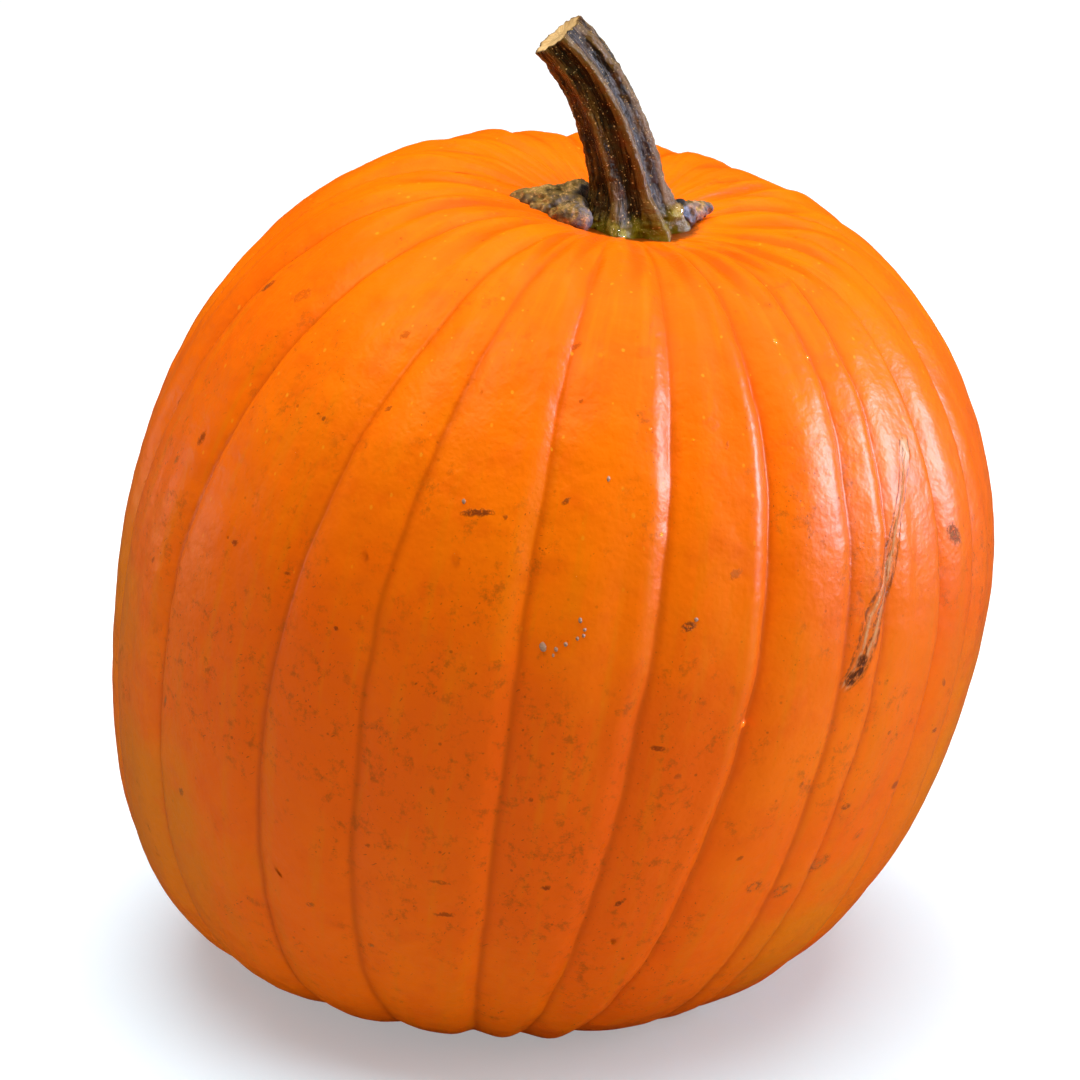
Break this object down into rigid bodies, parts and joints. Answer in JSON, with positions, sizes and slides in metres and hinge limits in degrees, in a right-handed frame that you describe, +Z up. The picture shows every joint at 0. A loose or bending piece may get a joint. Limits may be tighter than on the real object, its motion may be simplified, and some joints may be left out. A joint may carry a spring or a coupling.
{
  "type": "pumpkin",
  "caption": "Whole ripe field pumpkin: a ribbed, leaning orange fruit pressed flat where it rests, with a curved ridged stem and dried leaf scraps in the crown's hollow.",
  "frame": {"origin": "the middle of the whole pumpkin's outline seen from above, on the surface it rests on", "axes": "+Z up through the stem end, -Y towards the front of the fruit, +X towards the side it leans to"},
  "size_m": [0.2888, 0.2838, 0.327],
  "materials": {
    "rind": "satin",
    "stem": "satin",
    "dried_leaf": "matte"
  },
  "bodies": {
    "root": {"fruit": "rind", "stem": "stem", "dried_scrap_left": "dried_leaf", "dried_scrap_left_low": "dried_leaf", "dried_scrap_back": "dried_leaf", "dried_scrap_right": "dried_leaf"}
  },
  "joints": []
}
